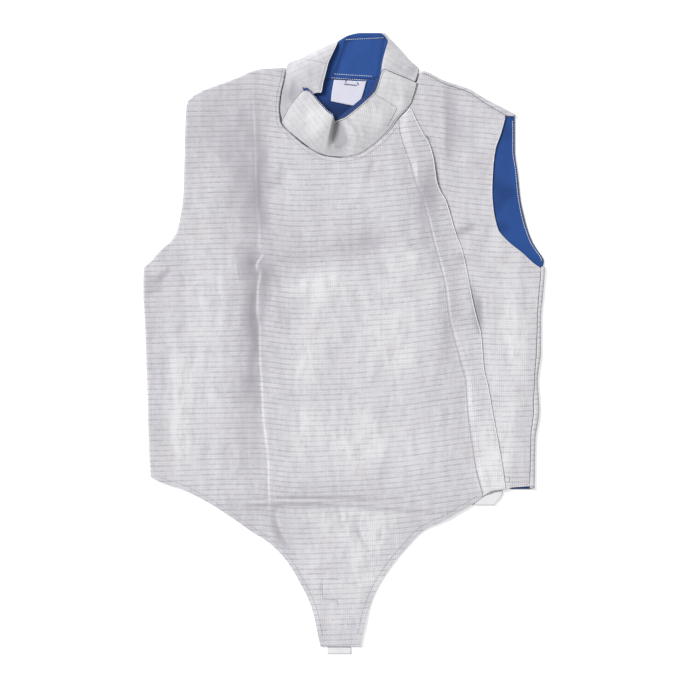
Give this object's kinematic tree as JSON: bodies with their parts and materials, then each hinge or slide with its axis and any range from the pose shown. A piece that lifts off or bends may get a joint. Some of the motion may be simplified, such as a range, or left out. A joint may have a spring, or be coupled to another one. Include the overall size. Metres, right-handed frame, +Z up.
{
  "type": "fencing lame",
  "caption": "Sleeveless foil fencing over-jacket of conductive cloth, laid flat on its back, with stand collar, slanting front closure and groin flap.",
  "frame": {"origin": "middle of the outline seen from above, on the floor that the garment lies on", "axes": "+Z up from the floor, out of the garment's front; +Y towards the collar; +X to the viewer's right, which is the wearer's left"},
  "size_m": [0.502, 0.776, 0.0163],
  "materials": {
    "lame": "metallic conductive cloth with thin dark weft lines, soft sheen",
    "lining": "blue woven lining with white top-stitching",
    "label": "plain white ribbon, bare"
  },
  "bodies": {
    "root": {"back": "lame", "front_main": "lame", "front_side": "lame", "closure_flap": "lame", "collar_back": "lame", "collar_left": "lame", "collar_front": "lame", "collar_right": "lame", "collar_lining": "lining", "collar_edge_lining": "lining", "neck_lining": "lining", "armhole_lining": "lining", "hem_lining": "lining", "neck_label": "label", "hem_tab": "label", "groin_tab": "label"}
  },
  "joints": []
}
